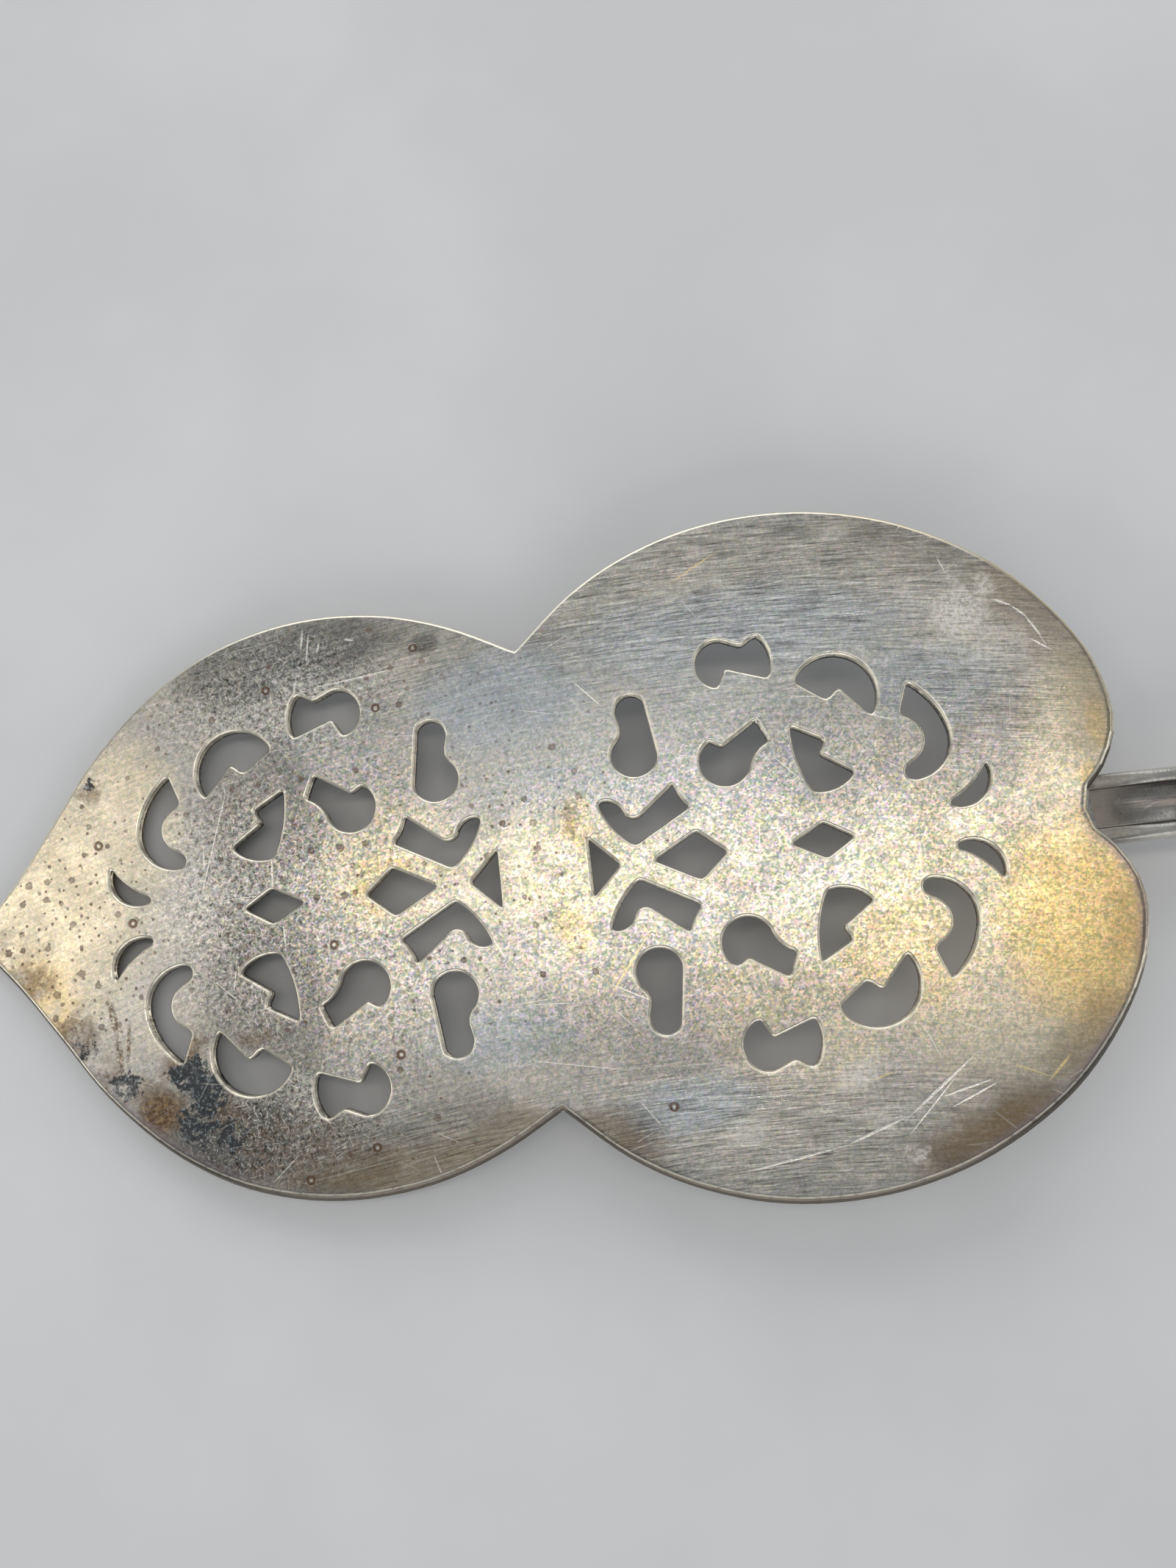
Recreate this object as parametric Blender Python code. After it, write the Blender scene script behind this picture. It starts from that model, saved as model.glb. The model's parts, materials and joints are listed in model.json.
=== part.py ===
"""A pierced cake server, lying back up on the tip of its blade and the end of its handle.

Everything is modelled in the blade's own plane, in millimetres. X runs from the tip to the handle,
Y across the blade and Z out of its back. The back is at Z = 0, and the origin is on the long axis
at the waist between the two lobes. One empty then tilts the whole server into its resting pose.
"""
import math

import bmesh
import bpy
from mathutils import Vector
from mathutils.geometry import interpolate_bezier

MM = 0.001                    # millimetres to metres
GAP = 0.3                     # left between pieces that touch

# Blade: a flat plate with a rounded edge.
BLADE_THICKNESS = 1.4
EDGE_RADIUS = 0.6
EDGE_STEPS = 3
OUTLINE_STEP = 1.5            # length of a facet along the outer edge
TIP_X = -50.0
CLEFT_X = 44.7
SMALL_LOBE = [(-49.4, 0.75), (-47.4, 2.75), (-45.2, 5.35), (-42.2, 9.4), (-38.5, 14.4),
              (-33.5, 19.2), (-28.3, 22.4), (-23.1, 24.1), (-18.0, 24.7), (-13.0, 24.35),
              (-9.0, 23.4), (-5.0, 21.8)]
WAIST = (-0.6, 19.4)
LARGE_LOBE = [(4.3, 23.6), (9.1, 26.3), (15.0, 28.15), (21.0, 28.7), (27.0, 28.1), (33.1, 26.2),
              (39.3, 22.6), (43.6, 18.4), (46.85, 13.4), (48.1, 8.9), (47.9, 6.0), (46.6, 3.3),
              (45.1, 1.6)]

# Piercings of the quarter with X and Y positive. A corner is (x, y), or (x, y, via_x, via_y) where
# the side that leaves it is an arc through the via point. The other quarters mirror these.
ARC_STEP = 0.75               # length of a facet along an arc
CORNER_CUT = 0.3              # how far a sharp corner is rounded back along its sides
SHARP_ANGLE = math.radians(25)
PAIRED_PIERCINGS = [
    # kidney
    [(10.45, 8.7), (9.75, 13.7, 8.3, 14.25), (7.3, 12.8), (7.55, 11.7, 7.6, 11.2),
     (7.3, 10.6), (6.7, 9.9, 8.45, 7.2)],
    # boomerang
    [(4.95, 5.3, 6.1, 5.35), (6.95, 4.6, 7.45, 3.8), (8.3, 3.75), (11.45, 6.25, 11.9, 5.05),
     (12.65, 4.1), (7.75, 1.4, 6.1, 3.05)],
    # hooked figure
    [(14.9, 9.45, 14.6, 6.0), (17.9, 6.6, 18.45, 7.75), (19.85, 8.8), (19.0, 10.75),
     (15.9, 8.8)],
    # notched triangle
    [(21.75, 9.85), (24.45, 8.35), (23.85, 7.2), (26.55, 5.35, 25.3, 4.35),
     (22.95, 4.1, 22.0, 6.7)],
    # pear
    [(16.15, 13.85, 14.55, 15.85), (16.7, 18.05), (18.55, 17.25), (19.95, 18.05, 20.85, 16.1),
     (20.5, 14.2), (17.0, 15.45)],
    # half moon
    [(22.6, 13.55, 28.1, 14.6), (28.6, 9.9), (26.25, 12.6), (25.05, 11.7)],
    # great crescent
    [(31.85, 12.3), (30.9, 9.75), (31.7, 9.2, 32.65, 7.5), (31.6, 5.75),
     (30.7, 5.2, 30.65, 4.45), (31.5, 4.1, 34.2, 5.75), (34.6, 8.0, 33.65, 10.4)],
    # small crescent
    [(33.85, 1.6, 36.35, 1.85), (37.25, 4.85, 35.75, 3.1), (33.95, 2.0)],
]
# Piercings on the long axis, mirrored across the waist only.
AXIAL_PIERCINGS = [
    [(3.85, 2.5), (3.85, -2.5), (6.35, 0.0)],
    [(9.1, 0.0), (12.9, 2.05), (15.3, 0.0), (12.9, -2.05)],
    [(20.55, 0.0), (23.35, 1.5), (25.8, 0.0), (23.35, -1.5)],
]
CUTTER_REACH = 1.0            # how far a cutter passes the plate on both sides

# Handle: a tongue under the blade, a narrow neck that drops, and a grip with a rounded end.
HANDLE_START = 38.5
HANDLE_END = 152.0
TONGUE_WIDTH = 8.4
NECK_WIDTH = 5.7
GRIP_WIDTH = 17.0
TONGUE_THICKNESS = 1.3
NECK_THICKNESS = 2.9
GRIP_THICKNESS = 2.3
# The fall of the handle's back below the tongue, as (distance, fall).
HANDLE_FALL = [(38.5, 0.0), (50.0, 0.0), (62.0, 2.3), (76.0, 5.9), (92.0, 8.1), (120.0, 10.3),
               (152.0, 13.9)]
HANDLE_STATIONS = 52
STATION_CROWDING = 14.0       # lower draws the stations closer together at both ends
# Where along the handle one shape gives way to the next, as (from, to).
TONGUE_NARROWS = (41.0, 45.5)
NECK_THICKENS = (41.5, 46.5)
GRIP_WIDENS = (58.0, 144.0)
GRIP_THINS = (90.0, 135.0)
# The two ends are rounded off. A sharpness of 2 is an ellipse, and a depth of 1 closes it fully.
END_ROUND_LENGTH = 9.0
END_ROUND_SHARPNESS = 2.2
END_ROUND_DEPTH = 0.93
PANEL_STEPS = 6               # facets across the panel between the two threads

# The thread is the raised border. Each row is the distance in from the edge and the depth below
# the crest, on the back and again on the front.
THREAD = [(0.0, 1.0), (0.18, 0.4), (0.6, 0.0), (1.05, 0.18), (1.3, 0.42)]
THREAD_DEPTH = 0.42
THREAD_FADE = (44.5, 47.5)    # the thread rises out of the flat tongue between these
CHANNEL_DEPTH = 0.45          # how far the neck's channel is hollowed below the threads' feet
CHANNEL_DEEPENS = (46.5, 52.0)
CHANNEL_FADES = (60.0, 100.0)
DOME_HEIGHT = 0.25            # how far the grip's panel rises above the threads' feet
DOME_RISES = (90.0, 120.0)

# Solder: a fillet around the tongue, against the front of the blade.
FILLET_LEG = 0.9
FILLET_HOLLOW = 0.35          # share of the leg left at the middle of the fillet's curved face
FILLET_REACH = 44.0           # it stops short of the cleft


def ease(value, start, end):
    """Rise smoothly from 0 at start to 1 at end."""
    share = min(max((value - start) / (end - start), 0.0), 1.0)
    return share * share * (3.0 - 2.0 * share)


def arc_points(start, via, end):
    """Points on the circle through three points, from start up to but not including end."""
    (ax, ay), (bx, by), (cx, cy) = start, via, end
    double_area = 2.0 * (ax * (by - cy) + bx * (cy - ay) + cx * (ay - by))
    a2, b2, c2 = ax * ax + ay * ay, bx * bx + by * by, cx * cx + cy * cy
    ux = (a2 * (by - cy) + b2 * (cy - ay) + c2 * (ay - by)) / double_area
    uy = (a2 * (cx - bx) + b2 * (ax - cx) + c2 * (bx - ax)) / double_area
    radius = math.hypot(ax - ux, ay - uy)
    first = math.atan2(ay - uy, ax - ux)
    middle = math.atan2(by - uy, bx - ux)
    turn = (math.atan2(cy - uy, cx - ux) - first) % math.tau
    if (middle - first) % math.tau > turn:
        turn -= math.tau
    count = max(2, math.ceil(abs(turn) * radius / ARC_STEP))
    angles = [first + turn * i / count for i in range(count)]
    return [(ux + radius * math.cos(a), uy + radius * math.sin(a)) for a in angles]


def round_corners(points):
    """Replace each sharp corner with a short curve."""
    rounded = []
    for i, point in enumerate(points):
        corner = Vector(point)
        before = corner - Vector(points[i - 1])
        after = Vector(points[(i + 1) % len(points)]) - corner
        if before.angle(after) < SHARP_ANGLE:
            rounded.append(point)
            continue
        start = corner - before.normalized() * min(CORNER_CUT, 0.45 * before.length)
        end = corner + after.normalized() * min(CORNER_CUT, 0.45 * after.length)
        for share in (0.0, 0.5, 1.0):
            curve = start.lerp(corner, share).lerp(corner.lerp(end, share), share)
            rounded.append(tuple(curve))
    return rounded


def piercing_outline(corners):
    """Turn a list of corners into a closed outline with its arcs drawn and its corners rounded."""
    points = []
    for i, corner in enumerate(corners):
        following = corners[(i + 1) % len(corners)][:2]
        if len(corner) == 4:
            points += arc_points(corner[:2], corner[2:], following)
        else:
            points.append(corner)
    return round_corners(points)


def smooth_curve(points):
    """Even points on a curve that passes smoothly through the given ones."""
    knots = [Vector(p) for p in points]
    curve = []
    for i in range(len(knots) - 1):
        start, end = knots[i], knots[i + 1]
        reach = (end - start).length / 3.0
        along = [k.normalized() for k in (end - knots[max(i - 1, 0)],
                                          knots[min(i + 2, len(knots) - 1)] - start)]
        count = max(2, math.ceil(3.0 * reach / OUTLINE_STEP))
        bend = interpolate_bezier((*start, 0.0), (*(start + along[0] * reach), 0.0),
                                  (*(end - along[1] * reach), 0.0), (*end, 0.0), count + 1)
        curve += [(p.x, p.y) for p in bend[:-1]]
    return curve + [tuple(knots[-1])]


def blade_outline():
    """The blade's closed outline, counter-clockwise seen from the back."""
    small = smooth_curve(SMALL_LOBE + [WAIST])
    large = smooth_curve([WAIST] + LARGE_LOBE)
    upper = [(CLEFT_X, 0.0)] + large[::-1] + small[-2::-1] + [(TIP_X, 0.0)]
    return upper + [(x, -y) for x, y in upper[-2:0:-1]]


def inset(points, distance):
    """Move a counter-clockwise outline inwards by the distance."""
    moved = []
    for i, point in enumerate(points):
        before = (Vector(point) - Vector(points[i - 1])).normalized()
        after = (Vector(points[(i + 1) % len(points)]) - Vector(point)).normalized()
        inward = Vector((-before.y - after.y, before.x + after.x)).normalized()
        mitre = max(inward.dot(Vector((-after.y, after.x))), 0.5)
        moved.append(tuple(Vector(point) + inward * distance / mitre))
    return moved


def add_ring(mesh, points, height):
    """Add one outline to the mesh at a height, and return its vertices."""
    return [mesh.verts.new((x * MM, y * MM, height * MM)) for x, y in points]


def bridge(mesh, lower, upper):
    """Join two rings of the same length with a band of faces."""
    for i in range(len(lower)):
        mesh.faces.new((lower[i - 1], lower[i], upper[i], upper[i - 1]))


def make_object(name, mesh, parent, material):
    """Turn a bmesh into a named object with outward faces, a material and a parent."""
    bmesh.ops.recalc_face_normals(mesh, faces=mesh.faces)
    data = bpy.data.meshes.new(name)
    mesh.to_mesh(data)
    mesh.free()
    thing = bpy.data.objects.new(name, data)
    bpy.context.scene.collection.objects.link(thing)
    thing.parent = parent
    if material:
        data.materials.append(material)
    return thing


def make_material(name, colour, roughness):
    """A metal with one colour and roughness."""
    material = bpy.data.materials.new(name)
    material.use_nodes = True
    shader = material.node_tree.nodes["Principled BSDF"]
    shader.inputs["Base Color"].default_value = (*colour, 1.0)
    shader.inputs["Roughness"].default_value = roughness
    shader.inputs["Metallic"].default_value = 1.0
    return material


def make_cutters(parent):
    """One closed prism for each piercing, joined in one object that only cuts."""
    outlines = []
    for corners in PAIRED_PIERCINGS:
        outline = piercing_outline(corners)
        outlines += [[(x * sx, y * sy) for x, y in outline] for sx in (1, -1) for sy in (1, -1)]
    for corners in AXIAL_PIERCINGS:
        outline = piercing_outline(corners)
        outlines += [[(x * sx, y) for x, y in outline] for sx in (1, -1)]
    mesh = bmesh.new()
    for outline in outlines:
        bottom = add_ring(mesh, outline, -BLADE_THICKNESS - CUTTER_REACH)
        top = add_ring(mesh, outline, CUTTER_REACH)
        bridge(mesh, bottom, top)
        mesh.faces.new(bottom)
        mesh.faces.new(top)
    cutters = make_object("piercing_cutters", mesh, parent, None)
    cutters.hide_render = True
    cutters.display_type = 'WIRE'
    return cutters


def make_blade(parent, material):
    """The plate with its rounded edge, and the piercings cut through it."""
    outline = blade_outline()
    angles = [math.pi / 2 * i / EDGE_STEPS for i in range(EDGE_STEPS + 1)]
    back_edge = [(EDGE_RADIUS * (1.0 - math.cos(a)), -EDGE_RADIUS * (1.0 - math.sin(a)))
                 for a in angles]
    front_edge = [(depth, -BLADE_THICKNESS - height) for depth, height in reversed(back_edge)]
    mesh = bmesh.new()
    rings = [add_ring(mesh, inset(outline, depth), height)
             for depth, height in front_edge + back_edge]
    for lower, upper in zip(rings, rings[1:]):
        bridge(mesh, lower, upper)
    mesh.faces.new(rings[0])
    mesh.faces.new(rings[-1])
    blade = make_object("blade", mesh, parent, material)
    cut = blade.modifiers.new("piercings", 'BOOLEAN')
    cut.operation = 'DIFFERENCE'
    cut.solver = 'EXACT'
    cut.object = make_cutters(parent)
    return blade


def half_width(x):
    """Half the handle's width at a distance along it, away from its two rounded ends."""
    tongue = TONGUE_WIDTH + (NECK_WIDTH - TONGUE_WIDTH) * ease(x, *TONGUE_NARROWS)
    grip = (GRIP_WIDTH - NECK_WIDTH) * ease(x, *GRIP_WIDENS)
    return (tongue + grip) / 2.0


def back_height(x):
    """Height of the handle's back at a distance along it, on a smooth curve through its falls."""
    knots = HANDLE_FALL
    i = max(k for k in range(len(knots) - 1) if k == 0 or knots[k][0] <= x)
    (x0, fall0), (x1, fall1) = knots[i], knots[i + 1]
    before, after = knots[max(i - 1, 0)], knots[min(i + 2, len(knots) - 1)]
    slope0 = (fall1 - before[1]) / (x1 - before[0])
    slope1 = (after[1] - fall0) / (after[0] - x0)
    span = x1 - x0
    t = (x - x0) / span
    square = 3.0 * (fall1 - fall0) - span * (2.0 * slope0 + slope1)
    cube = span * (slope0 + slope1) - 2.0 * (fall1 - fall0)
    fall = fall0 + t * span * slope0 + t * t * square + t ** 3 * cube
    return -BLADE_THICKNESS - GAP - fall


def thickness(x):
    """Thickness of the handle at a distance along it."""
    neck = TONGUE_THICKNESS + (NECK_THICKNESS - TONGUE_THICKNESS) * ease(x, *NECK_THICKENS)
    return neck + (GRIP_THICKNESS - NECK_THICKNESS) * ease(x, *GRIP_THINS)


def handle_sides():
    """Stations along one side of the handle, from its start to its end, as (x, half width)."""
    stations = []
    for i in range(HANDLE_STATIONS + 1):
        share = i / HANDLE_STATIONS
        share -= math.sin(math.tau * share) / STATION_CROWDING
        x = HANDLE_START + (HANDLE_END - HANDLE_START) * share
        from_start = max(1.0 - (x - HANDLE_START) / (TONGUE_WIDTH / 2.0), 0.0)
        from_end = max(1.0 - (HANDLE_END - x) / END_ROUND_LENGTH, 0.0)
        closing = max(from_start, from_end) ** END_ROUND_SHARPNESS
        stations.append((x, half_width(x) * math.sqrt(1.0 - END_ROUND_DEPTH * closing)))
    return stations


def make_handle(parent, material):
    """The handle: its plan outline with a thread around it, bent down along its length."""
    sides = handle_sides()
    end_rows = [[(x, half * (2.0 * k / PANEL_STEPS - 1.0)) for k in range(1, PANEL_STEPS)]
                for x, half in (sides[0], sides[-1])]
    outline = [(x, -half) for x, half in sides] + end_rows[1]
    outline += [(x, half) for x, half in reversed(sides)] + end_rows[0][::-1]

    def place(x, y, depth, on_back):
        """Bend a point of the plan onto the handle, at a depth below its back or its front."""
        slope = math.atan2(back_height(x + 0.5) - back_height(x - 0.5), 1.0)
        sunk = depth if on_back else thickness(x) - depth
        return (x + sunk * math.sin(slope), y, back_height(x) - sunk * math.cos(slope))

    def relief(x, depth):
        """Depth of the thread's profile, which is flat where the tongue meets the blade."""
        if depth <= THREAD_DEPTH:
            return depth * ease(x, *THREAD_FADE)
        return depth * thickness(x) / NECK_THICKNESS

    mesh = bmesh.new()
    surfaces = {}
    for on_back in (True, False):
        rings = []
        for distance, depth in THREAD:
            ring = []
            for x, y in inset(outline, distance):
                point = Vector(place(x, y, relief(x, depth), on_back)) * MM
                ring.append(mesh.verts.new(point))
            rings.append(ring)
        for outer, inner in zip(rings, rings[1:]):
            bridge(mesh, outer, inner)
        surfaces[on_back] = rings
        fill_panel(mesh, rings[-1], on_back)
    bridge(mesh, surfaces[True][0], surfaces[False][0])
    return make_object("handle", mesh, parent, material)


def fill_panel(mesh, ring, on_back):
    """Fill the inside of the handle's innermost ring with rows of faces from side to side."""
    count = HANDLE_STATIONS + 1
    right = ring[:count]
    left = ring[count + PANEL_STEPS - 1:2 * count + PANEL_STEPS - 1][::-1]
    rows = []
    for i in range(count):
        if i == 0:
            middle = ring[2 * count + PANEL_STEPS - 1:][::-1]
        elif i == count - 1:
            middle = ring[count:count + PANEL_STEPS - 1]
        else:
            middle = [add_panel_point(mesh, right[i], left[i], k / PANEL_STEPS, on_back)
                      for k in range(1, PANEL_STEPS)]
        rows.append([right[i]] + list(middle) + [left[i]])
    for lower, upper in zip(rows, rows[1:]):
        for k in range(PANEL_STEPS):
            mesh.faces.new((lower[k], lower[k + 1], upper[k + 1], upper[k]))


def add_panel_point(mesh, right, left, share, on_back):
    """A point between the two threads: hollowed on the neck, slightly domed on the grip."""
    x = right.co.x / MM
    bulge = 1.0 - (2.0 * share - 1.0) ** 2
    hollow = CHANNEL_DEPTH * ease(x, *CHANNEL_DEEPENS) * (1.0 - ease(x, *CHANNEL_FADES))
    dome = DOME_HEIGHT * ease(x, *DOME_RISES)
    rise = (dome - hollow) * bulge * (1.0 if on_back else -1.0)
    point = right.co.lerp(left.co, share)
    point.z += rise * MM
    return mesh.verts.new(point)


def make_solder(parent, material):
    """The fillet of solder around the tongue, an open loop with closed ends."""
    sides = [(x, half) for x, half in handle_sides() if x < FILLET_REACH]
    path = [(x, half) for x, half in reversed(sides)] + [(x, -half) for x, half in sides]
    level = -BLADE_THICKNESS - GAP
    hollow = FILLET_HOLLOW * FILLET_LEG
    section = [(GAP, level), (GAP + FILLET_LEG, level), (GAP + hollow, level - hollow),
               (GAP, level - FILLET_LEG)]
    mesh = bmesh.new()
    rows = []
    for i, point in enumerate(path):
        before = Vector(path[max(i - 1, 0)])
        after = Vector(path[min(i + 1, len(path) - 1)])
        along = (after - before).normalized()
        outward = Vector((along.y, -along.x))
        row = []
        for distance, height in section:
            x, y = Vector(point) + outward * distance
            row.append(mesh.verts.new((x * MM, y * MM, height * MM)))
        rows.append(row)
    for lower, upper in zip(rows, rows[1:]):
        bridge(mesh, lower, upper)
    mesh.faces.new(rows[0])
    mesh.faces.new(rows[-1])
    return make_object("solder_bead", mesh, parent, material)


def rest_on_table(server, blade, handle):
    """Tilt and lower the server until its tip and the end of its handle stand on Z = 0."""
    blade_points = [v.co.copy() for v in blade.data.vertices]
    handle_points = [v.co.copy() for v in handle.data.vertices]
    lowest = min(p.z for p in blade_points)
    tip = min((p for p in blade_points if p.z < lowest + 0.01 * MM), key=lambda p: p.x)
    tilt = max(math.atan2(tip.z - p.z, p.x - tip.x) for p in handle_points)
    server.rotation_euler = (0.0, -tilt, 0.0)
    turn = server.rotation_euler.to_matrix()
    turned = [turn @ p for p in blade_points + handle_points]
    middle = (min(p.x for p in turned) + max(p.x for p in turned)) / 2.0
    server.location = (-middle, 0.0, -min(p.z for p in turned))


def main():
    for thing in list(bpy.data.objects):
        bpy.data.objects.remove(thing, do_unlink=True)
    server = bpy.data.objects.new("server", None)
    bpy.context.scene.collection.objects.link(server)
    plate = make_material("silver_plate", (0.62, 0.61, 0.58), 0.32)
    solder = make_material("solder", (0.5, 0.49, 0.47), 0.45)
    blade = make_blade(server, plate)
    handle = make_handle(server, plate)
    make_solder(server, solder)
    rest_on_table(server, blade, handle)


main()
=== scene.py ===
"""The looks of the pierced cake server: fine meshes for its pieces, worn silver plate, light and camera."""

import json
import math
from functools import cache, partial, partialmethod, reduce

import bmesh
import bpy
import numpy as np
from mathutils import Matrix, Vector, noise
from mathutils.bvhtree import BVHTree
from mathutils.geometry import delaunay_2d_cdt


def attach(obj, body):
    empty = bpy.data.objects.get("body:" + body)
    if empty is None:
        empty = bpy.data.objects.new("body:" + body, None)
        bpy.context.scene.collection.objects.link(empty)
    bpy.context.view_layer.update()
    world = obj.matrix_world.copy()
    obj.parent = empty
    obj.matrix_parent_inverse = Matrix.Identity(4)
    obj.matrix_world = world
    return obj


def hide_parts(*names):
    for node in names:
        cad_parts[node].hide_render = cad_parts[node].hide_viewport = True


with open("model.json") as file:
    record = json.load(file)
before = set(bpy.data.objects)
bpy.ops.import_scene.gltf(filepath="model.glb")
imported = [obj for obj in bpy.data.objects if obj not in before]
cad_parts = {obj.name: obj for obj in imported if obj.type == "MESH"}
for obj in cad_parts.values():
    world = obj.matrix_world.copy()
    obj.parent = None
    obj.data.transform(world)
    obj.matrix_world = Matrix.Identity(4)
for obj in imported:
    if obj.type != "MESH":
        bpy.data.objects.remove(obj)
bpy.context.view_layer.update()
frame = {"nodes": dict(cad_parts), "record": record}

MM = 0.001

# The blade's own frame: its back is the plane Z = 0, X runs to the handle. The mount on its back gives it.
BACK = frame["record"]["mounts"][0]
NORMAL = Vector(BACK["axis"]).normalized()
ACROSS = Vector((0.0, 1.0, 0.0))
AXES = Matrix((ACROSS.cross(NORMAL), ACROSS, NORMAL)).transposed()
BLADE = Matrix.Translation(BACK["pos_m"]) @ AXES.to_4x4()

# Blade mesh, in millimetres.
BLADE_THICKNESS = 1.4
EDGE_RADIUS = 0.6             # rounding of the outer edge in the frame
SKIN = 0.02                   # how far the fine meshes stay inside the frame's
RIM_ROLL = (0.24, 0.74)       # rounding of the outer edge on the back, at its crispest and its softest
CRISP_SIDE = (-0.5, 0.866)    # the way the crispest part of the outer edge faces
RIM_FRONT_ROLL = 0.5
HOLE_ROLL = 0.26              # width of the rolled edge round a piercing on the back
HOLE_ROLL_DEPTH = 0.22
FRONT_ROLL = 0.16             # the front's edges are crisper
EDGE_SPACING = 0.2            # points along an edge
GRID_SPACING = 0.8            # points on the flat
GRID_ROW = 0.866              # height of a row of them, over their spacing
GRID_MARGIN = 0.5             # from the end of the widest roll to the first of them
PAST_ROLL = (0.15, 0.4)       # two more rings of points past each roll
RING_SHARE = 0.96             # a ring keeps the points that are this close to their full distance
STRAIGHT = 1.05               # a facet longer than this is a straight side, not part of an arc
ROLL_STEPS = 5


# -------------------------------- outlines from the frame

def open_sides(faces):
    """The sides that belong to one face only."""
    sides = {}
    for face in faces:
        for a, b in zip(face, face[1:] + face[:1]):
            if (b, a) in sides:
                del sides[b, a]
            else:
                sides[a, b] = True
    return list(sides)


def flat_loops(node, height):
    """Closed loops of points, in the blade's plane, where the node's outer walls meet a height."""
    mesh = frame["nodes"][node].data
    to_blade = BLADE.inverted()
    points = [to_blade @ v.co / MM for v in mesh.vertices]
    keys = [(round(p.x, 3), round(p.y, 3)) for p in points]
    flat = [abs(p.z - height) < 0.02 for p in points]
    faces = [face.vertices for face in mesh.polygons if all(flat[i] for i in face.vertices)]
    following = dict(sorted(open_sides([[keys[i] for i in corners] for corners in faces])))
    loops = []
    while following:
        start, here = following.popitem()
        loop = [start]
        while here != start:
            loop.append(here)
            here = following.pop(here)
        loops.append(np.array(loop))
    return loops


def unit(vectors):
    return vectors / np.linalg.norm(vectors, axis=-1, keepdims=True)


def area(loop):
    x, y = loop[:, 0], loop[:, 1]
    return 0.5 * np.sum(x * np.roll(y, -1) - y * np.roll(x, -1))


def offset(loop, distance):
    """Move a loop to its left by the distance."""
    before = unit(loop - np.roll(loop, 1, axis=0))
    after = unit(np.roll(loop, -1, axis=0) - loop)
    along = unit(before + after)
    left = np.column_stack((-along[:, 1], along[:, 0]))
    mitre = np.maximum(np.sum(left * np.column_stack((-after[:, 1], after[:, 0])), axis=1), 0.5)
    return loop + left * (distance / mitre)[:, None]


def curve(t, start, end, start_slope, end_slope):
    """Places along a smooth curve between two ends, for shares t of its length."""
    return (start * (2 * t**3 - 3 * t**2 + 1) + start_slope * (t**3 - 2 * t**2 + t)
            + end * (3 * t**2 - 2 * t**3) + end_slope * (t**3 - t**2))


def refine(loop, spacing):
    """Even points along a loop: its long sides stay straight and its short ones become smooth arcs."""
    sides = np.roll(loop, -1, axis=0) - loop
    lengths = np.linalg.norm(sides, axis=1)
    ways = sides / lengths[:, None]
    count = len(loop)
    tangents = []
    for i in range(count):
        before, after = lengths[i - 1], lengths[i]
        if before > STRAIGHT:
            tangents.append(ways[i - 1])
        elif after > STRAIGHT:
            tangents.append(ways[i])
        else:
            tangents.append(unit(ways[i - 1] * after + ways[i] * before))
    points = []
    for i in range(count):
        a, b = loop[i], loop[(i + 1) % count]
        ta, tb = tangents[i] * lengths[i], tangents[(i + 1) % count] * lengths[i]
        if lengths[i] > STRAIGHT:
            ta = tb = b - a
        steps = max(1, round(lengths[i] / spacing))
        points += [curve(t, a, b, ta, tb) for t in np.arange(steps) / steps]
    return np.array(points)


def inside(points, loop):
    """Which points lie within the loop."""
    found = np.zeros(len(points), bool)
    low, high = loop.min(axis=0), loop.max(axis=0)
    near = np.nonzero(np.all((points > low) & (points < high), axis=1))[0]
    x, y = points[near, 0], points[near, 1]
    odd = np.zeros(len(near), bool)
    for (ax, ay), (bx, by) in zip(loop, np.roll(loop, -1, axis=0)):
        if ay == by:
            continue
        crosses = (ay > y) != (by > y)
        odd ^= crosses & (x < ax + (y - ay) * (bx - ax) / (by - ay))
    found[near] = odd
    return found


def wall_tree(loops):
    """A tree that finds the nearest point of the loops' upright walls."""
    points, faces = [], []
    for loop in loops:
        first, count = len(points) // 2, len(loop)
        for x, y in loop:
            points += [(x, y, -1.0), (x, y, 1.0)]
        for i in range(count):
            a, b = 2 * (first + i), 2 * (first + (i + 1) % count)
            faces.append((a, b, b + 1, a + 1))
    return BVHTree.FromPolygons(points, faces)


def nearest(tree, points):
    """Distance to the walls and the direction away from them, for each point."""
    distances, ways = np.zeros(len(points)), np.zeros((len(points), 2))
    for i, (x, y) in enumerate(points):
        hit = tree.find_nearest((x, y, 0.0))
        away = np.array((x - hit[0].x, y - hit[0].y))
        distances[i] = np.linalg.norm(away)
        if distances[i] > 1e-6:
            ways[i] = away / distances[i]
    return distances, ways


def ease(value, start, end):
    """A smooth rise from nought to one between two values."""
    share = np.clip((value - start) / (end - start), 0.0, 1.0)
    return share * share * (3.0 - 2.0 * share)


def roll(distance, width, depth):
    """Fall and slope of an elliptical rolled edge at a distance from its wall."""
    share = np.clip(1.0 - distance / width, 0.0, 0.9999)
    root = np.sqrt(1.0 - share**2)
    return depth * (1.0 - root), depth / width * share / root


# -------------------------------- where the blade is marked

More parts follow.
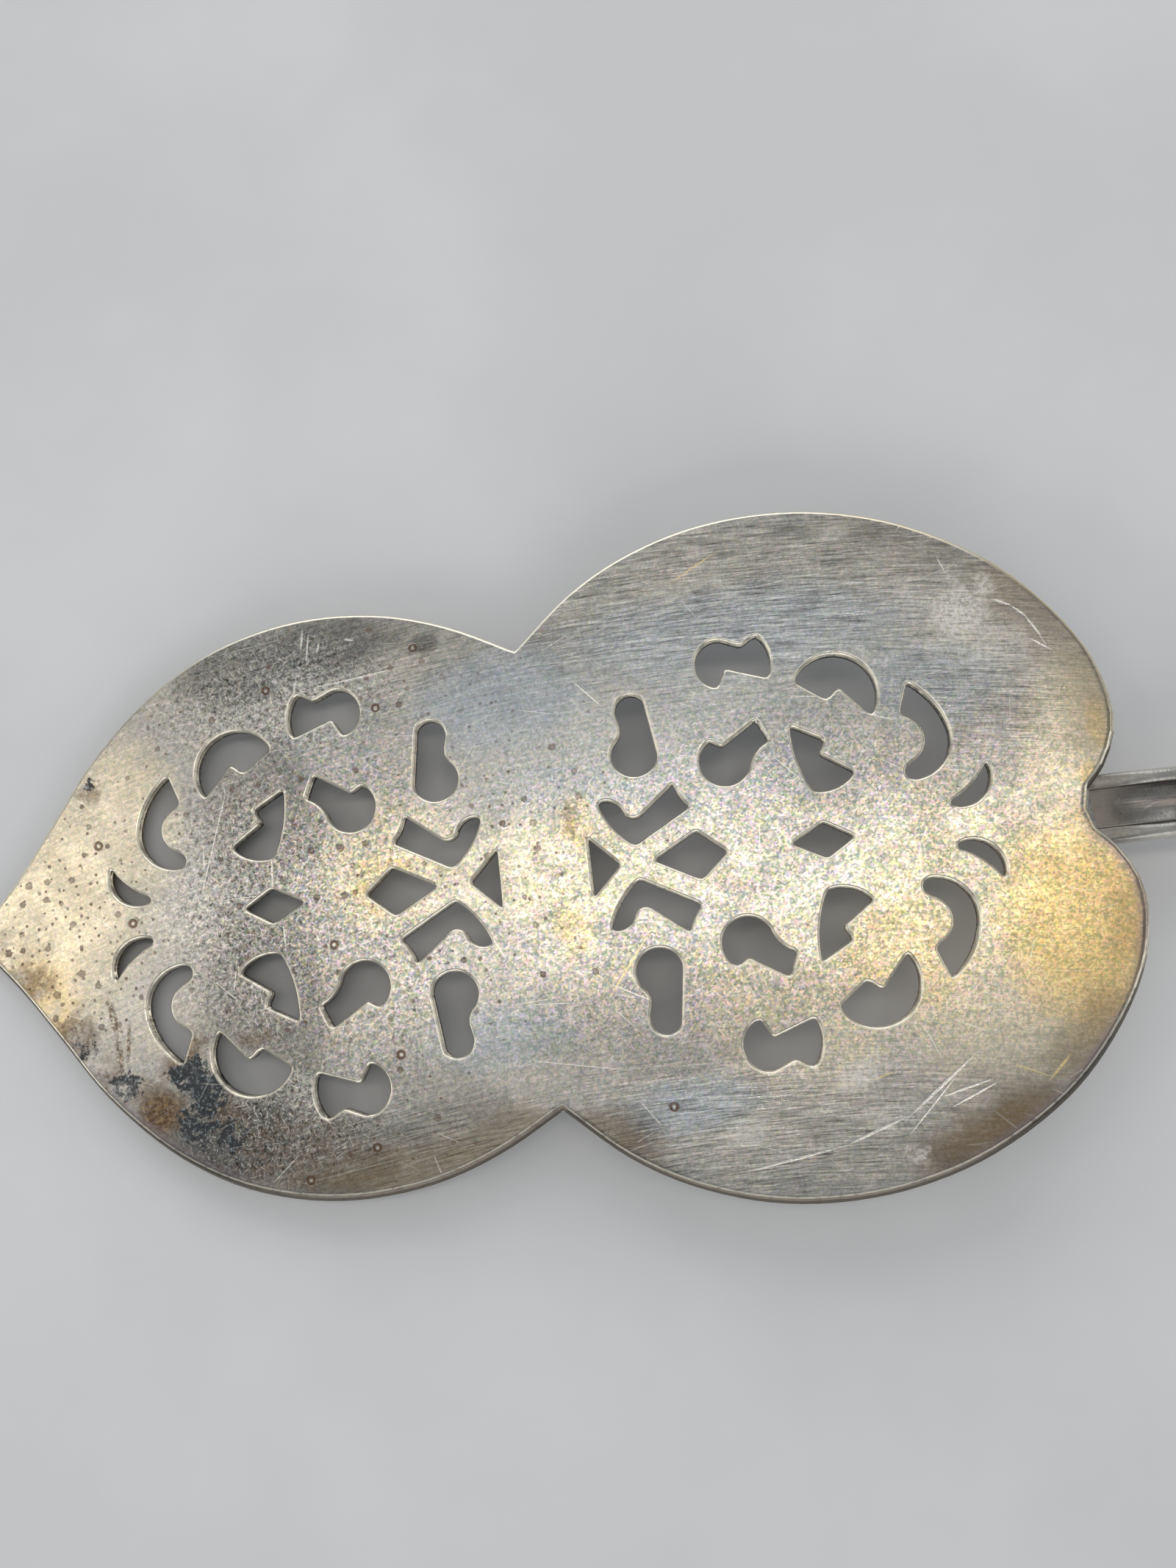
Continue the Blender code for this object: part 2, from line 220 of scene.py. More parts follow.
# Soft patches in millimetres on the blade, each (x, y, x radius, y radius, strength).
PATCHES = {
    "warm": [(-45, 2, 13, 15, 1), (-36, 9, 7, 9, 0.8), (36, -9, 16, 15, 0.9), (45, 2, 7, 14, 0.9),
             (1.5, 0, 15, 7, 0.6), (-13, 2, 8, 7, 0.8), (20, -12, 12, 10, 0.6), (20, 0, 14, 7, 0.3)],
    "gold": [(43, -9, 9, 11, 0.9), (28, -10, 9, 7, 0.45), (-13.5, 0.5, 4, 4, 0.5), (3, 4, 2, 4, 0.4),
             (2, -5, 2.5, 4, 0.45), (13, -2, 3, 3, 0.3), (-44, -6, 5, 6, 0.5), (-13, 7, 3, 2, 0.2),
             (46.4, 7, 1.3, 3.5, 0.5), (45.2, 2.5, 1.3, 2, 0.6)],
    "cool": [(12, 9, 24, 9, 0.6), (-2, 15, 11, 6, 1), (-5, -13, 9, 3.5, 0.9), (18, 18, 20, 6, 0.8),
             (33, 12, 8, 5, 0.9), (10, -20, 7, 3, 0.9), (-18, 12, 8, 5, 0.4)],
    "dark": [(-24.5, -8, 8, 13, 0.64), (-24, 8, 8, 10, 0.55), (-17, 22, 10, 3.5, 0.7),
             (-26, 21, 7, 5, 0.6), (-28, -19, 9, 6, 1), (-20, -20.5, 9, 5, 0.75), (-9, -20, 9, 5, 0.5),
             (-8.5, 21, 2, 1.2, 0.8), (3, -22, 6, 4, 0.65), (-33, -16.5, 5, 4, 0.5),
             (-22.7, 18.7, 1.2, 1, 0.8), (30, 8, 20, 10, 0.42), (38, -23, 9, 4, 0.35),
             (10, -13, 24, 7, 0.4), (-28, -17, 8, 6, 0.8), (33, -3, 14, 9, 0.25), (-12, -15, 8, 5, 0.3),
             (5, -26, 5, 3, 0.8)],
    "brown": [(-33.9, -16, 2.9, 2.6, 1), (-32.3, -12.6, 1.6, 1.8, 0.8), (-35, -14.4, 2.4, 2, 0.6),
              (-31.2, -10.8, 1.5, 1.9, 0.85), (-23.5, -20.5, 8, 4.5, 0.4), (-18, -22, 7, 2.5, 0.35),
              (-38.8, 11.7, 1.7, 1.4, 0.6), (-25.5, -10.8, 3, 1, 0.5), (-41, -9, 2.8, 2.6, 0.7),
              (-45, -4.2, 3.5, 2.2, 0.6), (-48, -0.5, 2, 2, 0.5), (-38.3, -12.2, 1.6, 1.6, 0.6),
              (-48.6, 1.6, 1.2, 0.7, 0.5), (-46.5, 4.4, 1.6, 0.5, 0.4), (2.4, 4.6, 1, 3.4, 0.34),
              (-28.5, -17, 2.6, 2.6, 0.5)],
    "burnt": [(33, -25, 9, 5.5, 0.85), (41.5, -17.5, 6, 5, 0.55), (46, -9, 4, 6, 0.4),
              (5.2, -23, 4, 2, 0.4)],
    "olive": [(33, 25, 11, 7, 0.4), (43, 17, 9, 10, 0.6), (47, 9, 5, 8, 0.6), (35, -21, 11, 7, 0.45),
              (-14, -22.5, 12, 4, 0.75), (-5, -21, 6, 4, 0.6), (2.5, -21.5, 5, 3, 0.5)],
    "purple": [(38, -21, 13, 9, 0.95), (-30, -18, 16, 9, 0.6), (46, -8, 5, 9, 0.7)],
    "crust": [(-31.4, -13.1, 2.4, 1.8, 0.9), (-29.9, -14.6, 2, 2.2, 0.85), (-30.9, -17.4, 2.8, 1.9, 0.62),
              (-28.4, -18.4, 2.2, 2, 0.55), (-36.7, -13.6, 1.9, 1.4, 0.7), (-40.2, -9.9, 1.3, 1.5, 0.38),
              (-38.9, 12.4, 1.1, 0.8, 0.6)],
    "scuff": [(37, 17.6, 3.4, 3, 0.85), (39.3, 19.7, 1.3, 1.5, 0.75), (36.6, 20, 0.8, 2.6, 0.5),
              (39.6, 14.6, 4.6, 2.6, 0.45), (36.2, 14.6, 4, 2.6, 0.35), (-40.7, -8.9, 1.1, 1.6, 0.55),
              (-42.6, -6.6, 1.3, 1.1, 0.5), (-38.4, -11.9, 1.2, 1.2, 0.55), (-36.9, -13.9, 1.6, 1, 0.5),
              (-39.6, 12.2, 1, 0.7, 0.6), (-45.6, -3.5, 1, 1, 0.5), (-43.9, -5, 0.8, 0.8, 0.5),
              (23.4, -19.2, 2.2, 1.6, 0.7), (25.8, -22.4, 2.4, 1.7, 0.5), (14, -22.5, 3, 1.4, 0.5),
              (27, -25.7, 1.8, 1.1, 0.7)],
    "brushed": [(20, 22, 30, 10, 1), (38, 12, 9, 9, 0.8), (12, -23, 26, 7, 1), (-14, -21, 13, 5, 1),
                (-12, 20, 14, 6, 0.6)],
    "mottled": [(-25, 0, 9, 16, 0.9), (-22, 18, 12, 7, 1), (-24, -18, 10, 7, 1),
                (-16, -6, 10, 14, 0.4)],
    "sparkling": [(18, -3, 38, 17, 1), (-16, 0, 14, 18, 0.9)],
    "pitted": [(-42, -3, 12, 16, 1), (-16, 4, 26, 22, 0.5), (-9.5, 17, 6, 4, 1),
               (-20, -20, 14, 6, 0.5)],
}
# Grain of the plate, as (size, lightness, tint, seed).
GRAINS = [(0.17, 0.75, (0.36, 0.3, 0.5), 4), (0.36, 0.3, (0.14, 0.1, 0.22), 13)]
RING_PITS = [(-22.6, 18.7), (-13.1, 15.9), (-13.4, -13.5), (-9.4, 20.8), (-35.5, -0.1), (-38.2, 6.9),
             (-18.3, -3.9), (-21.7, -22.7), (-16, -20.7), (8.4, -20)]
# Arcs that turned tools left round these places, as (x, y, inner radius, outer radius).
ARC_MARKS = [(29, 9.2, 4.5, 11), (27.6, -12.9, 4.5, 12), (-30.6, 1.3, 3, 8)]
# Tapering scratches, each from (x, y) to (x, y) with its widest half width.
PALE_CUTS = [
    (12.6, -25.7, 22.4, -24.2, 0.15), (21, -24.5, 27.3, -22.4, 0.16), (26, -23.2, 33.4, -17.8, 0.17),
    (26, -24.6, 31.5, -19.3, 0.1), (29, -21.5, 34.2, -20.3, 0.13), (29.6, -22.5, 34.5, -20.5, 0.12),
    (-2.6, -10.6, 2, -10.9, 0.08), (39.6, 18.5, 41.6, 17.5, 0.13), (41.1, 17.8, 42.6, 16.3, 0.13),
    (42.1, 16.9, 43.5, 14.3, 0.13), (42.1, 14.8, 44.1, 13.3, 0.12), (35.8, 22.9, 36.5, 20.9, 0.08),
    (-20.2, 18.2, -9.4, 19.3, 0.08), (-23.1, 4.8, -23.2, 0.8, 0.11), (-22.5, -1.4, -22.4, -4, 0.1),
    (-29, 6.1, -29, 3.4, 0.08), (-18.9, 24, -19.3, 21.5, 0.14), (-18.4, 23.7, -18.9, 20.3, 0.11),
    (-17.5, 22.6, -17.9, 21.3, 0.14), (-15.5, 22.4, -14.4, 22.1, 0.13), (-19.6, 20.5, -20.6, 16, 0.09),
    (3.6, 16.5, 6.8, 12.9, 0.08), (-30.2, -1, -26, 12.5, 0.07)]
GOLD_CUTS = [(37.7, -21.3, 40.3, -18.9, 0.16), (12.7, 23.2, 18.1, 26, 0.1), (3.3, -11.9, 8.8, -5, 0.1),
             (24.1, -19.6, 26.5, -19, 0.1), (35, -19.3, 38.6, -20.9, 0.09)]
STREAKS = [(-38, -5.8, -37.2, -10, 0.45), (-37.4, -9, -37, -13, 0.45), (-36.2, -8, -36.6, -12.4, 0.25)]


# A patch fades from full to nothing between these shares of its radii.
PATCH_FULL = 0.35
PATCH_END = 1.15


def patch_strength(plan, patches):
    """How strongly each point of the plan lies in a list of patches."""
    total = np.zeros(len(plan))
    for x, y, rx, ry, strength in patches:
        distance = np.hypot((plan[:, 0] - x) / rx, (plan[:, 1] - y) / ry)
        total = np.maximum(total, strength * (1.0 - ease(distance, PATCH_FULL, PATCH_END)))
    return total


# -------------------------------- blade

def plan_triangles(outer, holes):
    """Points and triangles that cover the blade's plan, dense along every edge."""
    rolls = [(outer, RIM_ROLL[1])] + [(hole, HOLE_ROLL) for hole in holes]
    angles = np.linspace(0.0, math.pi / 2, ROLL_STEPS + 1)
    walls = wall_tree([outer] + holes)
    points, edges = [], []
    for loop, _ in rolls:
        first = len(points)
        points += [tuple(p) for p in loop]
        edges += [(first + i, first + (i + 1) % len(loop)) for i in range(len(loop))]
    for loop, width in rolls:
        for away in [width * (1.0 - math.cos(a)) for a in angles[1:]] + [width + past for past in PAST_ROLL]:
            ring = offset(loop, away)
            distance, _ = nearest(walls, ring)
            points += [tuple(p) for p, d in zip(ring, distance) if d > RING_SHARE * away]
    low, high = outer.min(axis=0), outer.max(axis=0)
    rows = np.arange(low[1], high[1], GRID_SPACING * GRID_ROW)
    grid = np.array([(x + GRID_SPACING * 0.5 * (k % 2), y) for k, y in enumerate(rows)
                     for x in np.arange(low[0], high[0], GRID_SPACING)])
    distance, _ = nearest(walls, grid)
    points += [tuple(p) for p, d in zip(grid, distance) if d > RIM_ROLL[1] + GRID_MARGIN]
    found, _, triangles, _, _, _ = delaunay_2d_cdt([Vector(p) for p in points], edges, [], 0, 1e-5)
    found = np.array([tuple(p) for p in found])
    triangles = np.array(triangles)
    middles = found[triangles].mean(axis=1)
    keep = inside(middles, outer)
    for hole in holes:
        keep &= ~inside(middles, hole)
    triangles = triangles[keep]
    used = np.unique(triangles)
    renumber = np.zeros(len(found), int)
    renumber[used] = np.arange(len(used))
    return found[used], renumber[triangles]


def build_mesh(name, points, faces, normals=None):
    """A smooth-shaded object from points in millimetres in the blade's frame."""
    turn = np.array(BLADE.to_3x3())
    mesh = bpy.data.meshes.new(name)
    placed = np.asarray(points) * MM @ turn.T + np.array(BLADE.translation)
    mesh.from_pydata([tuple(p) for p in placed], [], [tuple(f) for f in faces])
    mesh.shade_smooth()
    if normals is not None:
        mesh.normals_split_custom_set_from_vertices([tuple(n) for n in normals @ turn.T])
    thing = bpy.data.objects.new(name, mesh)
    bpy.context.scene.collection.objects.link(thing)
    return thing


def store(thing, name, values):
    """Keep one number for each point of the mesh, for its material to read."""
    attribute = thing.data.attributes.new(name, 'FLOAT', 'POINT')
    attribute.data.foreach_set("value", np.asarray(values, np.float32))


def edge_fall(plan, outer, holes, rim_roll, hole_roll):
    """Fall of a face towards its edges, and the normals that go with it, as if it faced up."""
    rim, rim_way = nearest(wall_tree([outer]), plan)
    hole, hole_way = nearest(wall_tree(holes), plan)
    side = (1.0 - rim_way @ np.array(CRISP_SIDE)) / 2.0
    width = rim_roll[0] * side + rim_roll[1] * (1.0 - side)
    rim_fall, rim_slope = roll(rim, width, width)
    hole_fall, hole_slope = roll(hole, *hole_roll)
    by_rim = (rim_fall > hole_fall)[:, None]
    slope = np.where(by_rim, rim_slope[:, None] * rim_way, hole_slope[:, None] * hole_way)
    normals = unit(np.column_stack((-slope, np.ones(len(plan)))))
    return np.maximum(rim_fall, hole_fall), normals, rim, hole


def build_blade():
    """The plate as one closed mesh, with rolled edges on its back and crisp ones on its front."""
    top = sorted(flat_loops("blade", 0.0), key=lambda loop: -abs(area(loop)))
    outer = top[0] if area(top[0]) > 0 else top[0][::-1]
    outer = refine(offset(outer, SKIN - EDGE_RADIUS), EDGE_SPACING * 1.5)
    holes = [refine(h if area(h) < 0 else h[::-1], EDGE_SPACING) for h in top[1:]]
    plan, triangles = plan_triangles(outer, holes)
    back_fall, back_normals, rim, hole = edge_fall(plan, outer, holes, RIM_ROLL,
                                                   (HOLE_ROLL, HOLE_ROLL_DEPTH))
    front_fall, front_normals, _, _ = edge_fall(plan, outer, holes, (RIM_FRONT_ROLL, RIM_FRONT_ROLL),
                                                (FRONT_ROLL, FRONT_ROLL))
    back = np.column_stack((plan, -back_fall))
    front = np.column_stack((plan, front_fall - BLADE_THICKNESS + SKIN))
    count = len(plan)
    faces = triangles.tolist()
    walls = [(b, a, a + count, b + count) for a, b in open_sides(faces)]
    faces += [(c + count, b + count, a + count) for a, b, c in triangles.tolist()] + walls
    normals = np.vstack((back_normals, front_normals * (1.0, 1.0, -1.0)))
    blade = build_mesh("server_blade", np.vstack((back, front)), faces, normals)
    store(blade, "edge", np.tile(np.minimum(rim, hole), 2))
    store(blade, "rim", np.tile(rim, 2))
    for name, patches in PATCHES.items():
        store(blade, name, np.tile(patch_strength(plan, patches), 2))
    return blade


# -------------------------------- handle, in the blade's frame

GAP = 0.3                       # for solder, between the tongue and the blade
HANDLE_START = 38.5
HANDLE_END = 151.96
TONGUE_WIDTH = 8.4
NECK_WIDTH = 5.7
GRIP_WIDTH = 17.0
TONGUE_THICKNESS = 1.3
NECK_THICKNESS = 2.9
GRIP_THICKNESS = 2.3
NARROWS = (41.0, 45.5)          # along the handle, where the tongue narrows to the neck
WIDENS = (58.0, 144.0)          # and the neck widens to the grip
THICKENS = (41.5, 46.5)
THINS = (90.0, 135.0)
HANDLE_FALL = [(38.5, 0), (50, 0), (62, 2.3), (76, 5.9), (92, 8.1), (120, 10.3), (152, 13.9)]
TONGUE_ROUND = TONGUE_WIDTH / 2.0
END_ROUND = 9.0
END_FULLNESS = 0.93             # how far an end closes: 1 is all the way, and less leaves a short flat
END_POWER = 2.2                 # 2 rounds an end as an ellipse
HANDLE_STATIONS = 260
STATION_SPREAD = 14.0           # a smaller number crowds the stations more towards the ends
PANEL_STEPS = 20
SIDE_BARREL = 0.12              # least fall of the border's outer edge, over the thickness

# The raised border, in millimetres inwards from the handle's side, and where things change along it.
BORDER_ROWS = [0.0, 0.05, 0.12, 0.22, 0.34, 0.48, 0.64, 0.8, 0.94, 1.06, 1.15, 1.22, 1.3, 1.42]
FLANGE_CORNER = 0.3
FLANGE_STEP = (1.13, 1.32)
FLANGE_HEIGHT = 0.34
BEAD_MIDDLE = 0.6
BEAD_HALF_WIDTH = 0.66
BEAD_HEIGHT = 0.62
BEAD_LIMIT = 0.98               # share of its half width at which the bead's side stops
BORDER_RISES = (42.0, 44.0)
BEAD_BEGINS = (46.6, 51.5)
CHANNEL_DEPTH = 0.5
CHANNEL_BEGINS = (46.4, 51.5)
CHANNEL_ENDS = (60.0, 100.0)
DOME_HEIGHT = 0.3
DOME_BEGINS = (85.0, 120.0)


def half_width(x):
    tongue = TONGUE_WIDTH + (NECK_WIDTH - TONGUE_WIDTH) * ease(x, *NARROWS)
    return (tongue + (GRIP_WIDTH - NECK_WIDTH) * ease(x, *WIDENS)) / 2.0


def thickness(x):
    neck = TONGUE_THICKNESS + (NECK_THICKNESS - TONGUE_THICKNESS) * ease(x, *THICKENS)
    return neck + (GRIP_THICKNESS - NECK_THICKNESS) * ease(x, *THINS)


def back_height(x):
    """Height of the handle's back, on a smooth curve through its falls."""
    knots = np.array(HANDLE_FALL)
    slopes = np.gradient(knots[:, 1], knots[:, 0])
    slopes[1:-1] = (knots[2:, 1] - knots[:-2, 1]) / (knots[2:, 0] - knots[:-2, 0])
    i = np.clip(np.searchsorted(knots[:, 0], x, side="right") - 1, 0, len(knots) - 2)
    span = knots[i + 1, 0] - knots[i, 0]
    t = (x - knots[i, 0]) / span
    fall = curve(t, knots[i, 1], knots[i + 1, 1], slopes[i] * span, slopes[i + 1] * span)
    return -BLADE_THICKNESS - GAP - fall


def handle_sides(stations):
    """Places along one side of the handle, as distances and half widths."""
    share = np.arange(stations + 1) / stations
    x = HANDLE_START + (HANDLE_END - HANDLE_START) * (share - np.sin(math.tau * share) / STATION_SPREAD)
    from_start = np.maximum(1.0 - (x - HANDLE_START) / TONGUE_ROUND, 0.0)
    from_end = np.maximum(1.0 - (HANDLE_END - x) / END_ROUND, 0.0)
    return x, half_width(x) * np.sqrt(1.0 - END_FULLNESS * np.maximum(from_start, from_end) ** END_POWER)


def border_depth(x, inwards):
    """Depth below the crest of the raised border: a flat flange at the blade, a round bead beyond."""
    corner = np.clip(1.0 - inwards / FLANGE_CORNER, 0.0, 1.0)
    flange = FLANGE_CORNER * (1.0 - np.sqrt(1.0 - corner**2)) + FLANGE_HEIGHT * ease(inwards, *FLANGE_STEP)
    across = np.clip((inwards - BEAD_MIDDLE) / BEAD_HALF_WIDTH, -BEAD_LIMIT, BEAD_LIMIT)
    bead = BEAD_HEIGHT * (1.0 - np.sqrt(1.0 - across**2))
    blend = ease(x, *BEAD_BEGINS)
    return (flange * (1.0 - blend) + bead * blend) * ease(x, *BORDER_RISES)


def build_handle():
    """The handle with its threads and channel, bent down along its length."""
    x, half = handle_sides(HANDLE_STATIONS)
    steps = np.linspace(-1.0, 1.0, PANEL_STEPS + 1)[1:-1]
    right = np.column_stack((x, -half))
    left = np.column_stack((x, half))[::-1]
    end_row = np.column_stack((np.full(len(steps), x[-1]), steps * half[-1]))
    start_row = np.column_stack((np.full(len(steps), x[0]), -steps * half[0]))
    outline = np.vstack((right, end_row, left, start_row))
    points, faces, cavity = [], [], []

    def add(plan, depth, hollow, on_back):
        """Bend points of the plan onto the handle, and return the number of the first."""
        first = sum(len(p) for p in points)
        along = plan[:, 0]
        slope = np.arctan(back_height(along + 0.5) - back_height(along - 0.5))
        sunk = depth if on_back else thickness(along) - depth
        points.append(np.column_stack((along + sunk * np.sin(slope), plan[:, 1],
                                       back_height(along) - sunk * np.cos(slope))))
        cavity.append(np.broadcast_to(hollow, (len(plan),)))
        return first

    size = len(outline)
    first_rings = []
    for on_back in (True, False):
        rings = []
        for row in BORDER_ROWS:
            ring = offset(outline, row)
            depth = border_depth(ring[:, 0], row)
            if row == 0.0:
                depth = np.maximum(depth, SIDE_BARREL * thickness(ring[:, 0]))
            rings.append(add(ring, depth, row / BORDER_ROWS[-1], on_back))
        first_rings.append(rings[0])
        for outer, inner in zip(rings, rings[1:]):
            faces += ring_faces(outer, inner, size, on_back)
        last = offset(outline, BORDER_ROWS[-1])
        border = border_depth(last[:, 0], BORDER_ROWS[-1])
        rows = []
        count = HANDLE_STATIONS + 1
        for i in range(count):
            low, high = i, 2 * count + PANEL_STEPS - 2 - i
            if i == 0:
                middle = list(range(rings[-1] + size - 1, rings[-1] + 2 * count + PANEL_STEPS - 2, -1))
            elif i == count - 1:
                middle = list(range(rings[-1] + count, rings[-1] + count + PANEL_STEPS - 1))
            else:
                share = (steps[:, None] + 1.0) / 2.0
                plan = last[low] * (1.0 - share) + last[high] * share
                bulge = 1.0 - steps**2
                here = plan[:, 0]
                hollow = CHANNEL_DEPTH * ease(here, *CHANNEL_BEGINS) * (1.0 - ease(here, *CHANNEL_ENDS))
                dome = DOME_HEIGHT * ease(here, *DOME_BEGINS)
                depth = border[low] * (1.0 - share[:, 0]) + border[high] * share[:, 0]
                start = add(plan, depth + (hollow - dome) * bulge, 1.0, on_back)
                middle = list(range(start, start + len(steps)))
            rows.append([rings[-1] + low] + middle + [rings[-1] + high])
        for lower, upper in zip(rows, rows[1:]):
            for k in range(PANEL_STEPS):
                face = (lower[k], upper[k], upper[k + 1], lower[k + 1])
                faces.append(face if on_back else face[::-1])
    faces += ring_faces(first_rings[1], first_rings[0], size, True)
    handle = build_mesh("server_handle", np.vstack(points), faces)
    store(handle, "edge", np.concatenate(cavity) * BORDER_ROWS[-1])
    return handle


def ring_faces(outer, inner, size, outwards):
    """Faces between two rings of points."""
    faces = []
    for i in range(size):
        j = (i + 1) % size
        face = (outer + i, outer + j, inner + j, inner + i)
        faces.append(face if outwards else face[::-1])
    return faces


# -------------------------------- solder

FILLET_REACH = 44.3             # along the handle
FILLET_LEG = 1.0
FILLET_STEPS = 8
FILLET_SPACING = 0.25
FILLET_FOOT = 0.12              # from the tongue's side to the thin end of the hollow face
FILLET_UNDER = -0.25            # how far it reaches under the tongue
FILLET_TOP = SKIN - BLADE_THICKNESS
LUMP = (0.9, 0.16)              # how close the lumps are, and how high, over the fillet's width
TAPER_POINTS = 8                # points over which each end thins
END_SHARE = 0.35                # the fillet's size at its ends


def build_solder():
    """A hollow-faced fillet that runs round the tongue and fills the seam under the blade."""
    x, half = handle_sides(HANDLE_STATIONS)
    kept = x < FILLET_REACH
    path = np.vstack((np.column_stack((x, half))[kept][::-1], np.column_stack((x, -half))[kept]))
    path = refine(path, FILLET_SPACING)[:-1]
    along = unit(np.gradient(path, axis=0))
    outwards = np.column_stack((along[:, 1], -along[:, 0]))
    turn = np.linspace(0.0, math.pi / 2, FILLET_STEPS + 1)
    reach = FILLET_FOOT + FILLET_LEG * (1.0 - np.sin(turn))
    fall = FILLET_LEG * (1.0 - np.cos(turn))
    section = np.vstack((np.column_stack((reach, fall)), [(FILLET_UNDER, fall[-1]), (FILLET_UNDER, fall[0])]))
    points, faces = [], []
    for i, place in enumerate(path):
        lump = 1.0 + LUMP[1] * noise.noise(Vector((*place * LUMP[0], 3.0)))
        from_end = min(i, len(path) - 1 - i)
        taper = END_SHARE + (1.0 - END_SHARE) * min(1.0, from_end / TAPER_POINTS)
        for distance, down in section:
            x_y = place + outwards[i] * (distance if distance < 0 else distance * lump * taper)
            points.append((*x_y, FILLET_TOP - down * taper))
    size = len(section)
    for i in range(len(path) - 1):
        faces += [(i * size + k, i * size + (k + 1) % size,
                   (i + 1) * size + (k + 1) % size, (i + 1) * size + k) for k in range(size)]
    faces += [tuple(range(size))[::-1], tuple(range((len(path) - 1) * size, len(path) * size))]
    bead = build_mesh("solder_fillet", points, faces)
    fix_faces(bead)
    return bead


def fix_faces(thing):
    """Turn the faces of a closed mesh outwards."""
    mesh = bmesh.new()
    mesh.from_mesh(thing.data)
    bmesh.ops.recalc_face_normals(mesh, faces=mesh.faces)
    mesh.to_mesh(thing.data)
    mesh.free()


# -------------------------------- materials

class Paint:
    """A node material that is painted in coats, with its places in millimetres in the blade's frame."""

    def __init__(self, name, colour):
        self.colour = colour
        self.material = bpy.data.materials.new(name)
        self.material.use_nodes = True
        self.tree = self.material.node_tree
        self.shader = self.tree.nodes["Principled BSDF"]
        place = self.add("ShaderNodeTexCoord").outputs["Object"]
        inputs = {"Vector": place, "Location": BLADE.translation, "Rotation": BLADE.to_euler(),
                  "Scale": (MM, MM, MM)}
        self.here = self.add("ShaderNodeMapping", inputs, vector_type='TEXTURE').outputs[0]
        self.flat = self.vector('MULTIPLY', self.here, (1.0, 1.0, 0.0))

    def add(self, kind, inputs=None, **settings):
        node = self.tree.nodes.new(kind)
        for key, value in settings.items():
            setattr(node, key, value)
        for socket, value in (inputs or {}).items():
            self.join(value, node.inputs[socket])
        return node

    def join(self, value, socket):
        if isinstance(value, bpy.types.NodeSocket):
            self.tree.links.new(value, socket)
        elif socket.type == 'RGBA' and len(value) == 3:
            socket.default_value = (*value, 1.0)
        else:
            socket.default_value = value

    def finish(self, metallic, roughness, *relief):
        """Connect the shader, with pairs of a mask and its height in millimetres, and give the material."""
        self.join(self.colour, self.shader.inputs["Base Color"])
        self.join(metallic, self.shader.inputs["Metallic"])
        self.join(roughness, self.shader.inputs["Roughness"])
        if relief:
            height = 0.0
            for mask, rise in relief:
                height = self.scaled(mask, rise, height)
            bump = self.add("ShaderNodeBump", {"Height": height, "Distance": MM, "Strength": 1.0})
            self.join(bump.outputs[0], self.shader.inputs["Normal"])
        return self.material

    def math(self, operation, *values):
        return self.add("ShaderNodeMath", dict(enumerate(values)), operation=operation).outputs[0]

    def fold(self, operation, *values):
        """Any number of values brought to one, two at a time."""
        return reduce(partial(self.math, operation), values)

    times = partialmethod(fold, 'MULTIPLY')
    most = partialmethod(fold, 'MAXIMUM')
    least = partialmethod(fold, 'MINIMUM')

    def scaled(self, value, factor, added):
        return self.math('MULTIPLY_ADD', value, factor, added)

    def vector(self, operation, first, second=None, scale=None):
        node = self.add("ShaderNodeVectorMath", {0: first}, operation=operation)
        if second is not None:
            self.join(second, node.inputs[1])
        if scale is not None:
            self.join(scale, node.inputs["Scale"])
        return node.outputs["Value" if operation == 'LENGTH' else 0]

    def parts(self, vector):
        """The three parts of a vector or a colour."""
        return self.add("ShaderNodeSeparateXYZ", {"Vector": vector}).outputs

    def step(self, value, low, high, out_low=0.0, out_high=1.0):
        inputs = {"Value": value, "From Min": low, "From Max": high, "To Min": out_low, "To Max": out_high}
        return self.add("ShaderNodeMapRange", inputs, interpolation_type='SMOOTHSTEP').outputs[0]

    def band(self, value, middle, outer, inner):
        """A mask of the values near the middle one."""
        return self.step(self.math('ABSOLUTE', self.math('SUBTRACT', value, middle)), outer, inner)

    def mix(self, share, first, second, blend='MIX'):
        node = self.add("ShaderNodeMix", data_type='RGBA', blend_type=blend)
        for socket, value in ((node.inputs[0], share), (node.inputs[6], first), (node.inputs[7], second)):
            self.join(value, socket)
        return node.outputs[2]

    def shade(self, colour, factor):
        """A colour times a factor, or times another colour."""
        return self.mix(1.0, colour, factor, 'MULTIPLY')

    def coat(self, tint, *shares):
        """Lay another colour over what is there, as thickly as the product of the shares."""
        self.colour = self.mix(self.times(*shares), self.colour, tint)

    def vary(self, value, reach):
        """Make what is there lighter and darker by a value about nought."""
        self.colour = self.shade(self.colour, self.scaled(value, reach, 1.0))

    @cache
    def noise(self, scale, detail=3.0, rough=0.5, place=None, shift=0.0):
        """Cloudy values around a half. The same cloud is made only once."""
        where = self.here if place is None else place
        if shift:
            where = self.vector('ADD', where, (shift, shift * 0.7, 0.0))
        inputs = {"Vector": where, "Scale": scale, "Detail": detail, "Roughness": rough}
        return self.add("ShaderNodeTexNoise", inputs, noise_dimensions='2D').outputs["Fac"]

    def cloud(self, *shape, **place):
        """Cloudy values about nought."""
        return self.math('SUBTRACT', self.noise(*shape, **place), 0.5)

    def bowed(self, middle, radius):
        """Places bent so that straight lines become wide arcs, highest at the middle."""
        away = self.math('SUBTRACT', self.parts(self.here)[0], middle)
        drop = self.times(away, away, 0.5 / radius)
        return self.vector('ADD', self.here, self.add("ShaderNodeCombineXYZ", {"Y": drop}).outputs[0])

